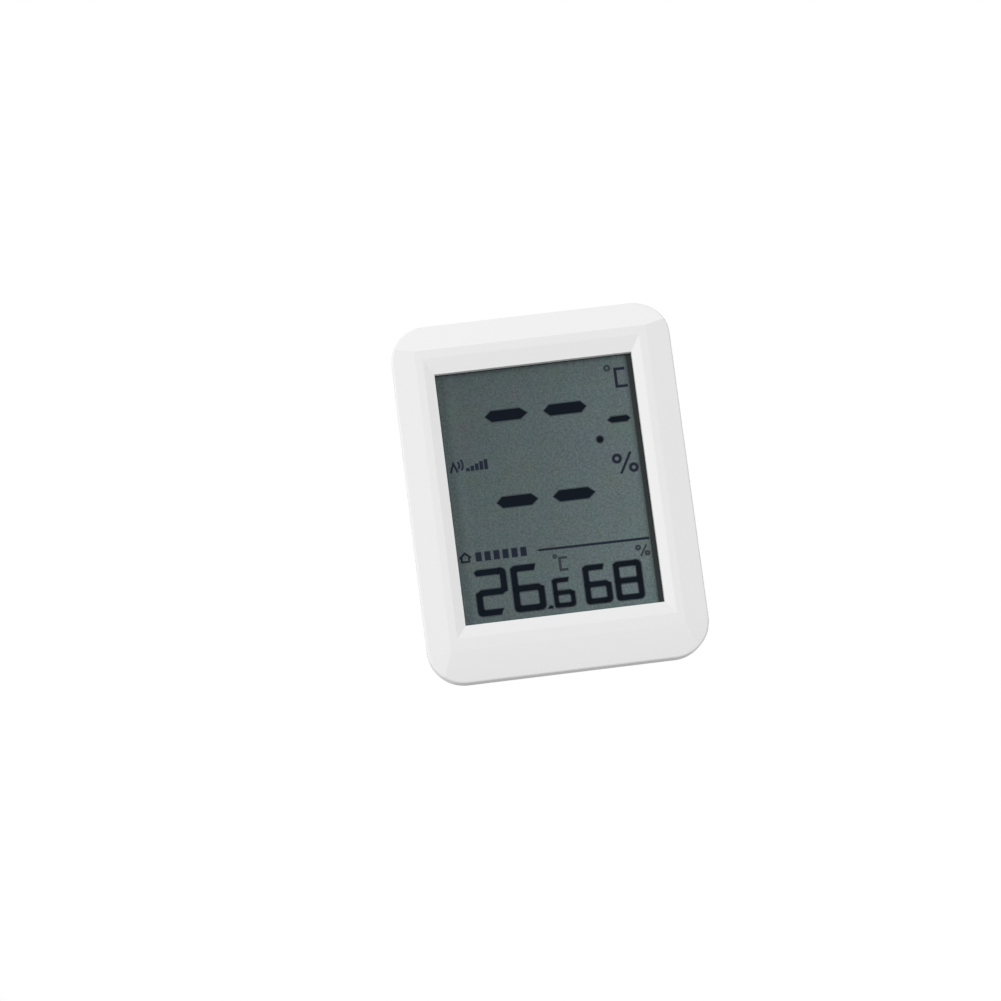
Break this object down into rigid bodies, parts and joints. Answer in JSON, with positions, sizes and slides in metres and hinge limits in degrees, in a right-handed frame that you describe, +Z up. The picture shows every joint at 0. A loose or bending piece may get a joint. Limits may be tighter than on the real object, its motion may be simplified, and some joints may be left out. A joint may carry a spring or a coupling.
{
  "type": "indoor temperature and humidity display unit",
  "caption": "Flat rounded indoor thermometer and hygrometer with a recessed segment display, back buttons, battery door and fold-out stand.",
  "frame": {"origin": "under the middle of the case, on the plane of its lowest edge", "axes": "+Z up along the display, +X to the right as seen from the front, +Y from the display to the back"},
  "size_m": [0.061, 0.0204, 0.0788],
  "materials": {
    "housing": "white moulded ABS, fine satin texture",
    "display_mask_black": "black printed film",
    "lcd_face": "grey-green satin polarizer film",
    "lcd_glass": "clear float glass",
    "reflector_foil": "satin reflector film",
    "holder_black": "black moulded ABS",
    "connector_rubber": "layered conductive silicone rubber",
    "board_green": "green solder mask on glass-fibre laminate",
    "resin_black": "black epoxy",
    "plated_steel": "zinc-plated steel",
    "spring_nickel": "nickel-plated spring steel",
    "sleeve_dark": "shrunk plastic sleeve",
    "chip_body": "glazed chip",
    "wire_sleeve": "black insulated wire",
    "sensor_white": "white moulded cage",
    "bead_resin": "epoxy bead on tinned leads",
    "switch_black": "black moulded switch body",
    "plunger_plastic": "black moulded plunger",
    "battery_sleeve": "printed film sleeve"
  },
  "bodies": {
    "case": {"front_frame": "housing", "rear_case": "housing", "display_mask": "display_mask_black", "lcd_front_polarizer": "lcd_face", "lcd_front_glass": "lcd_glass", "lcd_rear_glass": "lcd_glass", "lcd_reflector": "reflector_foil", "lcd_holder": "holder_black", "zebra_strip": "connector_rubber", "main_board": "board_green", "receiver_board": "board_green", "controller_blob": "resin_black", "case_screws": "plated_steel", "board_screws": "plated_steel", "crystal_can": "plated_steel", "receiver_pins": "plated_steel", "battery_springs": "spring_nickel", "bridge_contact": "spring_nickel", "positive_contact": "spring_nickel", "negative_contact": "spring_nickel", "filter_capacitor": "sleeve_dark", "chip_resistors": "chip_body", "antenna_wire": "wire_sleeve", "humidity_sensor": "sensor_white", "thermistor": "bead_resin", "tact_switches": "switch_black", "battery_upper": "battery_sleeve", "battery_lower": "battery_sleeve"},
    "door": {"battery_door": "housing"},
    "stand": {"stand_leg": "housing"},
    "button_left": {"button_left": "housing", "switch_plunger_left": "plunger_plastic"},
    "button_middle": {"button_middle": "housing", "switch_plunger_middle": "plunger_plastic"},
    "button_right": {"button_right": "housing", "switch_plunger_right": "plunger_plastic"}
  },
  "joints": [
    {"name": "door_hinge", "type": "hinge", "parent": "case", "child": "door", "pos_m": [0, 0.0102, 0.0297], "axis": [-1, 0, 0], "range_deg": [0, 75]},
    {"name": "stand_hinge", "type": "hinge", "parent": "case", "child": "stand", "pos_m": [0, 0.009, 0.026], "axis": [1, 0, 0], "range_deg": [0, 38]},
    {"name": "left_button_press", "type": "slide", "parent": "case", "child": "button_left", "axis": [0, -1, 0], "range_m": [0, 0.0006], "stiffness_N_per_m": 800, "springref_m": -0.0001},
    {"name": "middle_button_press", "type": "slide", "parent": "case", "child": "button_middle", "axis": [0, -1, 0], "range_m": [0, 0.0006], "stiffness_N_per_m": 800, "springref_m": -0.0001},
    {"name": "right_button_press", "type": "slide", "parent": "case", "child": "button_right", "axis": [0, -1, 0], "range_m": [0, 0.0006], "stiffness_N_per_m": 800, "springref_m": -0.0001}
  ]
}
